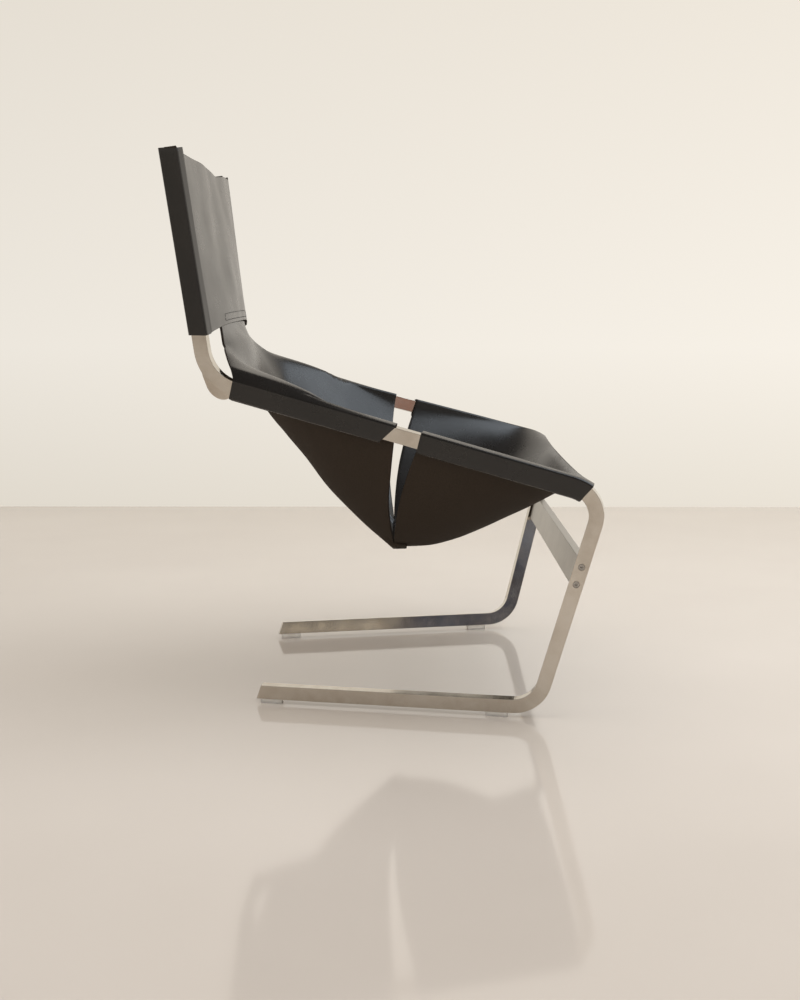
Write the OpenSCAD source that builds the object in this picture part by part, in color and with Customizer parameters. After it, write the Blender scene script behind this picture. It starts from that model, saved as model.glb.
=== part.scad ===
// Cantilever lounge chair: two side frames of bent flat bar, one crossbar between
// the legs, and a back and a seat of thick saddle leather sleeved over the bars.
// The front of the chair faces -Y, up is +Z, and the two sides mirror about X = 0.

/* [Steel bar] */
// Width of the flat bar, which faces sideways
bar_w = 25; // [20:1:32]
// Thickness of the flat bar
bar_t = 16; // [12:1:20]
// Inner radius of the bend at the floor
floor_bend_r = 45; // [35:1:60]
// Inner radius of the bend over the front leg
front_bend_r = 40; // [32:1:55]
// Inner radius of the bend between rail and upright
rear_bend_r = 62; // [50:1:75]
// Radius of the full outer corner below the rear bend
heel_r = 26.5; // [20:0.5:30]
// Distance of that corner's middle before the rail's rear corner
heel_place = 25.5; // [22:0.5:32]
// Slope of the ground bevel on that corner
heel_bevel = 30; // [15:1:40]

/* [Side frames] */
// Half distance between the outer faces, at the frame's reference line on the floor
frame_half_w = 291; // [260:1:320]
// How far each runner toes in towards the rear
toe_angle = 11.1; // [6:0.1:14]
// How far each side frame leans outwards
lean_angle = 6.8; // [3:0.1:9]
// Reach of the runner behind the reference line
runner_rear = 257; // [220:1:290]
// Reach of the floor corner before the reference line
floor_corner = 239; // [220:1:260]
// Slope of the leg above the floor
leg_angle = 74; // [68:0.5:80]
// Height of the front corner above the runner's middle
leg_h = 381.5; // [350:0.5:420]
// Fall of the seat rail towards the front
rail_angle = 15; // [10:0.5:20]
// Length of the seat rail between its corners
rail_run = 694.7; // [640:0.1:740]
// Lean of the upright towards the rear
upright_lean = 6.2; // [2:0.1:10]
// Height of the upright above the rear corner
upright_h = 380; // [340:1:420]
// Slant of the runner's cut end
runner_end_slant = 20; // [0:1:30]

/* [Crossbar] */
// Height of the crossbar, along the leg
cross_h = 49; // [42:1:60]
// Thickness of the crossbar
cross_t = 16; // [13:1:18]
// Distance of the crossbar's middle from the floor corner, up the leg
cross_place = 251; // [220:1:270]
// Distance between the two screws at each end
screw_pitch = 32; // [24:1:34]
// Diameter of the screws
screw_d = 6; // [4:0.5:8]
// Diameter of a screw's head
screw_head_d = 12; // [10:0.5:14]
// Length of the screws
screw_len = 36; // [26:1:45]
// Width across the flats of the key socket
key_af = 4; // [3:0.5:5]

/* [Glides] */
// Length of a glide
glide_len = 38; // [30:1:50]
// Height of a glide, from the floor to the bar's outer edge
glide_h = 8; // [5:0.5:12]
// Width of a glide
glide_w = 14; // [10:1:18]
// Diameter of the peg on a glide
peg_d = 6; // [4:0.5:8]
// Length of the peg on a glide
peg_len = 8; // [5:1:10]
// Distance of the front glide's middle before the reference line
glide_front = 169; // [150:1:180]
// Distance of the rear glide's middle behind the reference line
glide_rear = 235; // [200:1:236]

/* [Leather] */
// Thickness of the leather
leather_t = 4; // [3:0.5:5]
// Height of the seat's lowest line above the floor
seat_low = 241; // [215:1:260]
// Height at which the tongue spreads into the seat's sides
tongue_foot = 632; // [600:1:645]
// Height of the tongue's top edge above the floor
tongue_top = 692; // [680:1:705]
// Half width of the tongue behind the back panel
tongue_half_w = 190; // [160:1:200]
// Length of the seat's rear sleeve, on the rail's top
rear_sleeve = 289; // [265:1:295]
// Distance of the rear sleeve's end from the rail's rear corner
rear_sleeve_start = 46; // [44:1:56]
// Slant of the rear sleeve's front end
sleeve_slant = 23; // [0:1:30]
// Open rail between the two seat sleeves
rail_gap = 42; // [32:1:55]
// Distance of the front sleeve's end behind the rail's front corner
front_sleeve_short = 26; // [8:1:32]
// Slant of the front sleeve's front end
front_slant = 3; // [0:1:20]
// Drop of a seat sleeve's hem below the bar
hem_drop = 6; // [4:1:10]
// Rise of the leather's fold above the rear part of the rail
ridge_h = 19; // [10:1:35]
// How far the tongue's corners lie behind its middle
tongue_back = 30; // [5:1:34]
// Half width of the seam's lap
lap_half = 12; // [8:1:16]
// Set back of the slit's rear edge
slit_back = 13; // [6:1:18]
// Height of the seat's free front edge, in its middle
front_lip = 405; // [380:1:415]
// Reach of the free front edge before the sleeves' ends, in its middle
lip_reach = 10; // [0:1:20]
// Height of the back panel's bottom edge, along the upright
back_foot = 660; // [645:1:670]
// Distance of the upright's end below the sleeve's top
sleeve_over = 4; // [1:1:8]
// Drop of the panel's top edge below the sleeves
panel_drop = 12; // [4:1:20]
// Reach of the panel's ends before the uprights
back_nose = 1; // [0:1:12]
// Width of the hem behind the panel
back_hem = 24; // [16:1:32]
// Forward bow of the panel at its top edge
bow_top = 3; // [0:1:15]
// Forward bow of the panel at its bottom edge
bow_bottom = 18; // [8:1:42]
// Rise of the panel's bottom edge to its middle
foot_rise = 13; // [0:1:20]

/* [Hidden] */
$fn = 64;
fit = 0.3;              // clearance between leather, bar and pegs
cut_over = 2;           // overrun of every cut
far_reach = 2000;       // longer than the chair in any direction
steel = [0.72, 0.70, 0.66];
black = [0.10, 0.09, 0.09];
frost = [0.82, 0.82, 0.80];

// Side frame: its centreline in the frame's own plane, s forward and t up
half_bar = bar_w / 2;
runner_t = glide_h + half_bar;
floor_r = floor_bend_r + half_bar;
front_r = front_bend_r + half_bar;
rear_r = rear_bend_r + half_bar;
leg_dir = [cos(leg_angle), sin(leg_angle)];
rail_dir = [cos(rail_angle), -sin(rail_angle)];
rail_up = [sin(rail_angle), cos(rail_angle)];
upright_dir = [-sin(upright_lean), cos(upright_lean)];
upright_front = [cos(upright_lean), sin(upright_lean)];
p_floor = [floor_corner, runner_t];
p_front = p_floor + leg_dir * leg_h / leg_dir[1];
p_rear = p_front - rail_dir * rail_run;
p_top = p_rear + upright_dir * upright_h / upright_dir[1];
floor_turn = leg_angle;
front_turn = 180 - leg_angle - rail_angle;
rear_turn = 90 - upright_lean - rail_angle;
floor_tan = floor_r * tan(floor_turn / 2);
front_tan = front_r * tan(front_turn / 2);
rear_tan = rear_r * tan(rear_turn / 2);
floor_c = p_floor + [-floor_tan, floor_r];
front_start = p_front - rail_dir * front_tan;
front_c = front_start - rail_up * front_r;
rear_start = p_rear + rail_dir * rear_tan;
rear_c = rear_start + rail_up * rear_r;

// A point of the right side frame as half width, forward and up, n inwards from the outer face
function frame_pt(p, n) =
    let (x = n * cos(lean_angle) - p[1] * sin(lean_angle),
         z = n * sin(lean_angle) + p[1] * cos(lean_angle))
    [frame_half_w - x * cos(toe_angle) + p[0] * sin(toe_angle),
     x * sin(toe_angle) + p[0] * cos(toe_angle),
     z];

// The frame of reference is the middle of the chair's own depth
front_most = frame_pt(front_c + [front_r + half_bar, 0], bar_t)[1];
rear_most = frame_pt(p_top + upright_dir * sleeve_over
                     - upright_front * (half_bar + fit + leather_t), -fit)[1];
mid_u = (front_most + rear_most) / 2;

function mix(a, b, k) = a + (b - a) * k;
function clamp01(v) = min(1, max(0, v));
function world(x, u, z) = [x, mid_u - u, z];

// Puts what is drawn in the right frame's plane where it stands, outer face at local X = 0
module in_right_frame() {
    translate([-frame_half_w, mid_u, 0])
        rotate([0, 0, -toe_angle])
            rotate([0, -lean_angle, 0])
                children();
}

// Stands an outline drawn with s forward and t up on edge, as thick as the bar
module stand_up(thick) {
    rotate([90, 0, 90])
        linear_extrude(thick)
            mirror([1, 0])
                children();
}

bend_steps = 16;

// Points of one edge of a bend, round c from a start angle through a turn
function arc_pts(c, r, start, turn) =
    [for (i = [0 : bend_steps]) let (a = start + turn * i / bend_steps) c + [cos(a), sin(a)] * r];

// One edge of the bar from runner to upright: side = 1 below the runner, -1 above it
function bar_edge(side) =
    let (end_cut = half_bar * tan(runner_end_slant))
    concat(
        [[-runner_rear - side * end_cut, runner_t - side * half_bar]],
        arc_pts(floor_c, floor_r + side * half_bar, -90, floor_turn),
        arc_pts(front_c, front_r + side * half_bar, leg_angle - 90, front_turn),
        arc_pts(rear_c, rear_r - side * half_bar, -90 - rail_angle, -rear_turn),
        [p_top + upright_front * side * half_bar]);

// The heel fills the outer corner below the rear bend; its crease is a chord of the bend's edge
heel_c = p_rear + rail_dir * heel_place;
crease_shares = [0.47, 0.91];
heel_leave_share = 0.36;
function rear_edge(share) =
    let (angle = 180 + upright_lean + rear_turn * share)
    rear_c + [cos(angle), sin(angle)] * (rear_r + half_bar);
crease_a = rear_edge(crease_shares[0]);
crease_b = rear_edge(crease_shares[1]);
crease_slope = atan2(crease_a[1] - crease_b[1], crease_b[0] - crease_a[0]);

// The heel's outline: straight from the bar's edge onto its circle, round it, and back inside the bar
module heel() {
    leave = rear_edge(heel_leave_share);
    across = leave - heel_c;
    start = atan2(across[1], across[0]) + acos(heel_r / norm(across));
    end_turn = 360 - rail_angle * 2 - start;
    polygon(concat([leave], arc_pts(heel_c, heel_r, start, end_turn),
                   [crease_a + upright_front * half_bar]));
}

module bar_outline() {
    inside = bar_edge(-1);
    polygon(concat(bar_edge(1), [for (i = [len(inside) - 1 : -1 : 0]) inside[i]]));
    heel();
}

// Middle of the screw pair on the leg, and the place of each screw
cross_mid = p_floor + leg_dir * cross_place;
function screw_at(k) = cross_mid + leg_dir * k * screw_pitch / 2;

// Draws its children at a place on the frame, local X pointing inwards
module at_frame(p, n) {
    translate([n, -p[0], p[1]]) children();
}

module screw_hole() {
    sink = (screw_head_d - screw_d) / 2;
    rotate([0, 90, 0]) {
        translate([0, 0, -cut_over]) cylinder(d = screw_d + fit, h = bar_t + cut_over * 2);
        translate([0, 0, -cut_over]) cylinder(d = screw_head_d, h = cut_over);
        cylinder(d1 = screw_head_d, d2 = screw_d, h = sink);
    }
}

module peg_hole() {
    translate([0, 0, -cut_over]) cylinder(d = peg_d + fit, h = peg_len + fit + cut_over);
}

// Takes the outer face's edge off the heel, below the crease
module heel_bevel_cut() {
    at_frame(crease_a, 0)
        rotate([crease_slope, 0, 0])
            rotate([0, -heel_bevel, 0])
                translate([-bar_t * 4, -heel_r * 3, -heel_r * 2])
                    cube([bar_t * 4, heel_r * 4, heel_r * 2]);
}

module side_frame() {
    difference() {
        in_right_frame() difference() {
            stand_up(bar_t) bar_outline();
            heel_bevel_cut();
            for (k = [-1, 1]) at_frame(screw_at(k), 0) screw_hole();
        }
        for (u = [glide_front, -glide_rear]) glide_place(u) peg_hole();
    }
}

// Where a glide sits under the runner: the bar's middle line, upright on the floor
module glide_place(u) {
    base = frame_pt([u, glide_h], bar_t / 2);
    translate([-base[0], mid_u - base[1], base[2]]) rotate([0, 0, -toe_angle]) children();
}

module crossbar() {
    mid = frame_pt(cross_mid, bar_t);
    up = frame_pt(cross_mid + leg_dir * cross_h, bar_t) - mid;
    side_slope = atan2(up[2], up[1]);
    difference() {
        translate(world(0, mid[1], mid[2]))
            rotate([90 - side_slope, 0, 0])
                cube([mid[0] * 2 + bar_w * 2, cross_t, cross_h], center = true);
        for (m = [0, 1]) mirror([m, 0, 0]) in_right_frame() {
            translate([-far_reach, -far_reach, -far_reach])
                cube([far_reach + bar_t, far_reach * 2, far_reach * 2]);
            for (k = [-1, 1]) at_frame(screw_at(k), bar_t - cut_over)
                rotate([0, 90, 0]) cylinder(d = screw_d, h = screw_len - bar_t + cut_over * 2);
        }
    }
}

module screw() {
    sink = (screw_head_d - screw_d) / 2;
    rotate([0, 90, 0]) difference() {
        union() {
            cylinder(d1 = screw_head_d - fit * 4, d2 = screw_d - fit, h = sink);
            cylinder(d = screw_d - fit, h = screw_len);
        }
        translate([0, 0, -cut_over]) cylinder(d = key_af / cos(30), h = sink + cut_over, $fn = 6);
    }
}

module screw_in_place(k) {
    in_right_frame() at_frame(screw_at(k), fit) screw();
}

module glide(u) {
    difference() {
        glide_place(u) {
            translate([-glide_w / 2, -glide_len / 2, -glide_h * 2])
                cube([glide_w, glide_len, glide_h * 4]);
        }
        translate([-far_reach, -far_reach, -far_reach * 2]) cube(far_reach * 2);
        in_right_frame() translate([-far_reach, -far_reach, glide_h])
            cube([far_reach * 2, far_reach * 2, far_reach]);
    }
    glide_place(u) translate([0, 0, -glide_h / 2]) cylinder(d = peg_d, h = glide_h / 2 + peg_len);
}

// Leather: each piece is one sheet of even thickness, a grid of points of its middle surface.
// Stations run along a rail or an upright, columns run across from the right side to the left.
gap_mid = fit + leather_t / 2;
seam_gap = leather_t + fit;
rear_line_shares = [[0, 0], [0.06, 0.165], [0.128, 0.3], [0.259, 0.435], [0.398, 0.553],
                    [0.541, 0.69], [0.688, 0.8], [0.842, 0.905], [0.94, 0.963], [1, 1]];
front_line_shares = [[0, 0], [0.185, 0.02], [0.331, 0.095], [0.478, 0.225], [0.625, 0.385],
                     [0.742, 0.52], [0.859, 0.69], [0.947, 0.85], [1, 1]];
hem_in_share = 0.7;
sleeve_low_share = 0.75;
sink_from_share = 0.3;
tongue_share = 0.665;
seam_share = 0.47;
across_shares = [0.96, 0.9, 0.83, 0.75, 0.665, 0.57, 0.47, 0.33, 0.16];
side_cols = 8;
cols = 2 * (side_cols + len(across_shares)) + 1;

// Height up a table of shares at a share of its run
function along(table, k) =
    let (last = len(table) - 1,
         n = min(last - 1, len([for (i = [1 : last]) if (table[i][0] < k) i])),
         a = table[n], b = table[n + 1])
    a[1] + (b[1] - a[1]) * (k - a[0]) / (b[0] - a[0]);

// A point beside the rail: r along it from the rear corner, m above its middle, n inwards.
// At its front the leather bends down with the bar, but less sharply.
sleeve_bend_share = 1.5;
sleeve_bend_r = front_r * sleeve_bend_share;
function rail_pt(r, m, n) =
    let (turn = max(0, r - rail_run + front_tan) / sleeve_bend_r * 180 / PI)
    turn == 0 ? frame_pt(p_rear + rail_dir * r + rail_up * m, n)
    : frame_pt(front_start - rail_up * sleeve_bend_r
               + (rail_up * cos(turn) + rail_dir * sin(turn)) * (sleeve_bend_r + m), n);

// The leather round the bar, from the hem below it over the top to its inner side: [n, m]
function sleeve_pt(j, low) =
    let (corner = gap_mid * (1 - cos(45)))
    j == 0 ? [bar_t * hem_in_share, -half_bar - hem_drop]
    : j == 1 ? [-gap_mid + corner, -half_bar - gap_mid]
    : j == 2 ? [-gap_mid, -half_bar + corner]
    : j == 3 ? [-gap_mid, half_bar]
    : j == 4 ? [-gap_mid + corner, half_bar + gap_mid - corner]
    : j == 5 ? [0, half_bar + gap_mid]
    : j == 6 ? [bar_t, half_bar + gap_mid]
    : [bar_t + gap_mid - corner * (1 - low), half_bar + gap_mid - corner - bar_w * low];

// The seat's two lines on the chair's middle: forward and up, at a share of each run
rear_foot_u = rail_pt(rear_sleeve_start, 0, bar_t)[1];
function rear_line(k) = [mix(rear_foot_u, -lap_half, k),
                         mix(tongue_foot, seat_low + leather_t / 2, along(rear_line_shares, k))];
front_sleeve_start = rear_sleeve_start + rear_sleeve + rail_gap;
front_sleeve_end = rail_run - front_sleeve_short;
front_lip_u = rail_pt(front_sleeve_end, 0, bar_t)[1] + lip_reach;
function front_line(k) = [mix(-lap_half, front_lip_u, k),
                          mix(seat_low + leather_t / 2 + seam_gap, front_lip, along(front_line_shares, k))];

// How the seat's cross-sections change along its run: shares of the run, and powers that make a
// curve flat at first and steep at its end
ridge_out_share = 0.6;
rear_part_share = 0.25;
ridge_fall = 1.2;
corner_fall = 30;
back_fall = 20;
hollow_powers = [3.4, 2.2];
slope_powers = [1.1, 2];
front_powers = [6, 2];
bump_peak = 4 / 27; // highest value of f * f * (1 - f)

// How far the rear piece has sunk down the bar's inner side, and where its free span starts
function rear_low(k) = sleeve_low_share * clamp01((k - sink_from_share) / (1 - sink_from_share));
function rear_rim(k) =
    let (e = sleeve_pt(side_cols - 1, rear_low(k)))
    rail_pt(rear_sleeve_start + rear_sleeve * k, e[1], e[0]);
corner_rise = tongue_foot - rear_rim(0)[2] - ridge_h;

// A point of the rear seat piece at a share f of the half width and a share k of the run:
// a hollow up to the ridge, and a slope from there down to the rail. The ridge starts in the
// tongue's corner and soon runs out to the rail.
function rear_seat_pt(f, k) =
    let (rim = rear_rim(k),
         mid = rear_line(k),
         rear = min(1, k / rear_part_share),
         ridge = ridge_h * pow(1 - k, ridge_fall) + corner_rise * pow(1 - k, corner_fall),
         f_top = mix(tongue_share, 1, sqrt(min(1, k / ridge_out_share))),
         p = mix(hollow_powers[0], hollow_powers[1], rear),
         back = tongue_back * pow(1 - k, back_fall) * f * f * (1 - f) / bump_peak,
         z = f <= f_top ? mix(mid[1], rim[2] + ridge, pow(f / f_top, p))
             : rim[2] + ridge * (1 - pow((f - f_top) / (1 - f_top),
                                         mix(slope_powers[0], slope_powers[1], rear))))
    [rim[0] * f, mix(mid[0], rim[1], pow(f, p)) - back, z];

// A point of the front seat piece in the same way
function front_seat_pt(f, k) =
    let (low = sleeve_low_share * (1 - k),
         e = sleeve_pt(side_cols - 1, low),
         rim = rail_pt(front_sleeve_start + (front_sleeve_end - front_sleeve_start) * k, e[1], e[0]),
         mid = front_line(k))
    [rim[0] * f,
     mix(mid[0], rim[1], pow(abs(f), mix(front_powers[0], front_powers[1], k))),
     mix(mid[1], rim[2], pow(abs(f), hollow_powers[1]))];

function mirrored(p) = [-p[0], p[1], p[2]];
function unit(v) = v / norm(v);

// Normals of a grid of points, from each point's neighbours that belong to the sheet
function grid_normals(g, from) =
    [for (i = [0 : len(g) - 1]) [for (j = [0 : len(g[0]) - 1])
        let (i0 = i > from[j] ? i - 1 : i, i1 = i < len(g) - 1 ? i + 1 : i,
             j0 = j > 0 && from[j - 1] <= i ? j - 1 : j,
             j1 = j < len(g[0]) - 1 && from[j + 1] <= i ? j + 1 : j)
        i < from[j] ? [0, 0, 1] : unit(cross(g[i][j1] - g[i][j0], g[i1][j] - g[i0][j]))]];

// A sheet of leather as a closed solid round its middle surface g. Column j starts at row from[j].
module sheet(g, from) {
    rows = len(g);
    width = len(g[0]);
    normals = grid_normals(g, from);
    face = function(side) [for (i = [0 : rows - 1]) for (j = [0 : width - 1])
        let (p = g[i][j] + normals[i][j] * side * leather_t / 2) world(p[0], p[1], p[2])];
    id = function(i, j) i * width + j;
    has = function(i, j) i >= 0 && j >= 0 && i < rows - 1 && j < width - 1
        && i >= max(from[j], from[j + 1]);
    both = rows * width;
    cells = [for (i = [0 : rows - 2]) for (j = [0 : width - 2]) if (has(i, j)) [i, j]];
    top = [for (c = cells) let (i = c[0], j = c[1])
        each [[id(i, j), id(i, j + 1), id(i + 1, j + 1)], [id(i, j), id(i + 1, j + 1), id(i + 1, j)]]];
    bottom = [for (f = top) [f[2] + both, f[1] + both, f[0] + both]];
    wall = function(a, b) [[b, a, a + both], [b, a + both, b + both]];
    walls = [for (c = cells) let (i = c[0], j = c[1]) each concat(
        has(i - 1, j) ? [] : wall(id(i, j), id(i, j + 1)),
        has(i, j + 1) ? [] : wall(id(i, j + 1), id(i + 1, j + 1)),
        has(i + 1, j) ? [] : wall(id(i + 1, j + 1), id(i + 1, j)),
        has(i, j - 1) ? [] : wall(id(i + 1, j), id(i, j)))];
    polyhedron(points = concat(face(1), face(-1)), faces = concat(top, bottom, walls));
}

// One row of a seat piece from its right hem to its left, where pt(f) gives the free span
function seat_row(sleeve, span) =
    let (right = concat([for (j = [0 : side_cols - 1]) sleeve[j]], [for (f = across_shares) span(f)]))
    concat(right, [span(0)], [for (j = [len(right) - 1 : -1 : 0]) mirrored(right[j])]);

// The sleeve's points at a share k of its run, its outer side set back or on by a slant
function rail_sleeve(r, low, slant) =
    [for (j = [0 : side_cols - 1])
        let (e = sleeve_pt(j, low), drop = j < 5 ? clamp01((half_bar - e[1]) / bar_w) : 0)
        rail_pt(r - slant * drop, e[1], e[0])];

// The back panel's middle surface: its ends run up the uprights, its middle bows forward
back_top = p_top[1] + sleeve_over;
function upright_pt(t, q, n) =
    frame_pt(p_rear + upright_dir * (t - p_rear[1]) / upright_dir[1] + upright_front * q, n);
nose_q = half_bar + gap_mid + back_nose;
panel_foot_pt = upright_pt(back_foot, nose_q, bar_t + gap_mid);
panel_top_pt = upright_pt(back_top - panel_drop, nose_q, bar_t + gap_mid);
function panel_pt(f, k) =
    let (end = mix(panel_foot_pt, panel_top_pt, k))
    [end[0] * f, end[1] + mix(bow_bottom, bow_top, k) * (1 - f * f),
     end[2] + foot_rise * (1 - pow(abs(f), 3)) * (1 - k)];
function panel_rear_pt(x, z) =
    let (k = (z - panel_foot_pt[2]) / (panel_top_pt[2] - panel_foot_pt[2]),
         p = panel_pt(x / mix(panel_foot_pt, panel_top_pt, k)[0], k))
    [x, p[1] - seam_gap, z];

module back_panel() {
    panel_shares = [0.84, 0.68, 0.52, 0.35, 0.18, 0];
    row_shares = [0, 0.2, 0.45, 0.7, 1];
    far = half_bar + gap_mid;
    corner = gap_mid * (1 - cos(45));
    wrap = [[bar_t + gap_mid, 0], [bar_t + gap_mid, -half_bar],
            [bar_t + gap_mid - corner, corner - far], [bar_t, -far], [0, -far],
            [corner - gap_mid, corner - far], [-gap_mid, -half_bar], [-gap_mid, half_bar],
            [corner - gap_mid, far - corner], [0, far]];
    g = [for (k = row_shares)
        let (t = mix(back_foot, back_top, k),
             end = panel_pt(1, k),
             hem = panel_pt(1 - back_hem / end[0], k),
             right = concat(
                 [hem - [0, seam_gap, 0]],
                 [mix(end, hem, gap_mid * 2 / back_hem) - [0, seam_gap, 0]],
                 [for (w = wrap) upright_pt(t, w[1], w[0])],
                 [for (f = [1, each panel_shares]) panel_pt(f, k)]),
             n = len(right))
        concat(right, [for (j = [n - 2 : -1 : 0]) mirrored(right[j])])];
    sheet(g, [for (p = g[0]) 0]);
}

// The rear seat piece: a tongue behind the panel, two sleeves, and a lap under the front piece
function front_normal(f, k) =
    let (step_share = 0.01)
    unit(cross(front_seat_pt(f + step_share, k) - front_seat_pt(f - step_share, k),
               front_seat_pt(f, k + step_share) - front_seat_pt(f, k)));
function lap_pt(f, k) = front_seat_pt(f, k) - front_normal(f, k) * seam_gap;
function slit_share(f) = slit_back / rear_sleeve
    * (1 - pow(clamp01((f - seam_share) / (1 - seam_share)), 3));

module rear_seat_leather() {
    rows_shares = [for (r = rear_line_shares) if (r[0] < 0.9) r[0]];
    heights = [tongue_top, (tongue_top + panel_foot_pt[2]) / 2, panel_foot_pt[2]];
    lap_share = lap_half * 2 / (front_lip_u + lap_half);
    tongue = [for (z = heights)
        seat_row(rail_sleeve(rear_sleeve_start, 0, 0),
                 function(f) panel_rear_pt(tongue_half_w * f / tongue_share, z))];
    bend = [seat_row(rail_sleeve(rear_sleeve_start, 0, 0),
                     function(f) mix(panel_rear_pt(tongue_half_w * f / tongue_share, panel_foot_pt[2]),
                                     rear_seat_pt(f, 0), 0.5))];
    body = [for (k = rows_shares)
        seat_row(rail_sleeve(rear_sleeve_start + rear_sleeve * k, rear_low(k), sleeve_slant * k),
                 function(f) rear_seat_pt(f, k))];
    end = [for (last = [0, 1])
        let (k = last == 1 ? 1 : 0.95)
        seat_row(rail_sleeve(rear_sleeve_start + rear_sleeve * k, rear_low(k), sleeve_slant * k),
                 function(f) f > seam_share ? rear_seat_pt(f, k - slit_share(f))
                                            : lap_pt(f, last * lap_share))];
    from = [for (j = [0 : cols - 1])
        let (c = min(j, cols - 1 - j) - side_cols)
        c >= 0 && (c >= len(across_shares) || across_shares[c] <= tongue_share) ? 0 : len(heights) + 1];
    sheet(concat(tongue, bend, body, end), from);
}

// The front seat piece: two sleeves, a lap over the rear piece, and a free front edge
module front_seat_leather() {
    g = [for (r = front_line_shares)
        let (k = r[0], at = mix(front_sleeve_start, front_sleeve_end, k))
        seat_row(rail_sleeve(at, sleeve_low_share * (1 - k), front_slant * k),
                 function(f) front_seat_pt(f, k))];
    sheet(g, [for (p = g[0]) 0]);
}

color(steel) side_frame();  // side_frame_right
color(steel) mirror([1, 0, 0]) side_frame();  // side_frame_left
color(steel) crossbar();  // front_crossbar
color(steel) screw_in_place(1);  // screw_upper_right
color(steel) screw_in_place(-1);  // screw_lower_right
color(steel) mirror([1, 0, 0]) screw_in_place(1);  // screw_upper_left
color(steel) mirror([1, 0, 0]) screw_in_place(-1);  // screw_lower_left
color(frost) glide(glide_front);  // glide_front_right
color(frost) mirror([1, 0, 0]) glide(glide_front);  // glide_front_left
color(frost) glide(-glide_rear);  // glide_rear_right
color(frost) mirror([1, 0, 0]) glide(-glide_rear);  // glide_rear_left
color(black) back_panel();
color(black) rear_seat_leather();
color(black) front_seat_leather();
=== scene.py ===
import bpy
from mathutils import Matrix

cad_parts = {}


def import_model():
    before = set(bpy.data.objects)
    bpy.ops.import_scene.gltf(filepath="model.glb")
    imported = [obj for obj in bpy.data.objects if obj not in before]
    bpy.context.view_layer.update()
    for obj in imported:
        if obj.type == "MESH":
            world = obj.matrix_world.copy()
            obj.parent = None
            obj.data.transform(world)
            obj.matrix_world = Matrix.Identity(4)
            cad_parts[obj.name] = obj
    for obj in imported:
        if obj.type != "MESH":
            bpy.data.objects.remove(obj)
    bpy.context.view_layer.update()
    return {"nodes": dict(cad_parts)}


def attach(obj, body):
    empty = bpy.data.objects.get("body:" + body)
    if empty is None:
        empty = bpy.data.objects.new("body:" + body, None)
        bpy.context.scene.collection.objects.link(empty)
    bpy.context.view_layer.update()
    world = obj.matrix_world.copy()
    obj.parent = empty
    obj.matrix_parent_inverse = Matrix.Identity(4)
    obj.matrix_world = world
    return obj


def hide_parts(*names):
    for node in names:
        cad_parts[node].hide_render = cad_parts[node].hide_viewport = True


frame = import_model()

import math

import bmesh
import bpy
import numpy as np
from mathutils import Matrix, Vector

# The steel parts and the glides keep their solids and get materials. The three leather sheets
# are made here, with their thread, and then the camera, floor, wall and light.
#
# Shapes are worked out in millimetres. A point of the chair is (half width, forward, up). A
# point of a side frame is (forward, up) in the bar's plane, with n counted inwards from the
# bar's outer face. Unless a comment says otherwise, a size is the part's own.

# Side frames
BAR_W, BAR_T = 25.0, 16.0
FRONT_BEND_R = 40.0
FRAME_HALF_W, TOE, LEAN = 291.0, math.radians(11.1), math.radians(6.8)
FLOOR_CORNER, LEG_ANGLE, LEG_H = 239.0, math.radians(74), 381.5
RAIL_ANGLE, RAIL_RUN = math.radians(15), 694.7
UPRIGHT_LEAN, UPRIGHT_H = math.radians(6.2), 380.0
GLIDE_H = 8.0

# Leather, and its clearance to the bars
LEATHER_T, FIT = 4.0, 0.3

# Rear seat piece. Its sleeve ends 3 mm sooner and less aslant than the part's, as in the photo
SEAT_LOW = 241.0
TONGUE_FOOT, TONGUE_TOP, TONGUE_HALF_W, TONGUE_BACK = 632.0, 692.0, 190.0, 30.0
REAR_SLEEVE_START, REAR_SLEEVE, SLEEVE_SLANT = 46.0, 286.0, 16.0
RAIL_GAP, HEM_DROP = 45.0, 6.0
LAP_HALF, SLIT_BACK, EDGE_BACK = 12.0, 13.0, 13.0
# the sleeve's top lifts beside the tongue, and the ridge stands over it: the part has one ridge
LIFT, RIDGE_H = 15.0, 8.0

# Front seat piece
FRONT_SLEEVE_SHORT, FRONT_SLANT = 26.0, 3.0
FRONT_LIP, LIP_REACH = 405.0, 10.0

# Back panel
BACK_FOOT, SLEEVE_OVER, PANEL_DROP = 660.0, 4.0, 12.0
BACK_NOSE, BACK_HEM, BOW_TOP, BOW_BOTTOM, FOOT_RISE = 1.0, 24.0, 3.0, 18.0, 13.0

# Places across the seat, as shares of the way from its middle to its rim: the tongue's edge, and
# the lap's end, which lies further in than the part's. The ridge has run out to the rim at
# RIDGE_OUT_SHARE of the rear piece
TONGUE_SHARE, SEAM_SHARE, RIDGE_OUT_SHARE = 0.665, 0.34, 0.6
# How much of the bar's inner side a sleeve covers, and from which share of the rear piece on
LOW_SHARE, LOW_FROM, LOW_POWER = 0.75, 0.3, 1.6
# The seat's fall along its middle, as (share of its length, share of its fall)
REAR_LINE = [[0, 0], [0.06, 0.165], [0.128, 0.3], [0.259, 0.435], [0.398, 0.553],
             [0.541, 0.69], [0.688, 0.8], [0.842, 0.905], [0.94, 0.963], [1, 1]]
FRONT_LINE = [[0, 0], [0.185, 0.02], [0.331, 0.095], [0.478, 0.225], [0.625, 0.385],
              [0.742, 0.52], [0.859, 0.69], [0.947, 0.85], [1, 1]]
# Powers that round the seat across: at its start, and where it has settled
HOLLOW_POWERS, SLOPE_POWERS, SETTLE_RATE = (3.4, 2.2), (1.1, 2), 4
FRONT_REACH_POWERS, FRONT_HOLLOW_POWER = (4.8, 2), 2.2
# Powers with which the ridge, its corner at the tongue and the pull to the back fade away
RIDGE_FADE, CORNER_FADE, BACK_FADE = 1.2, 30, 20

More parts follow.
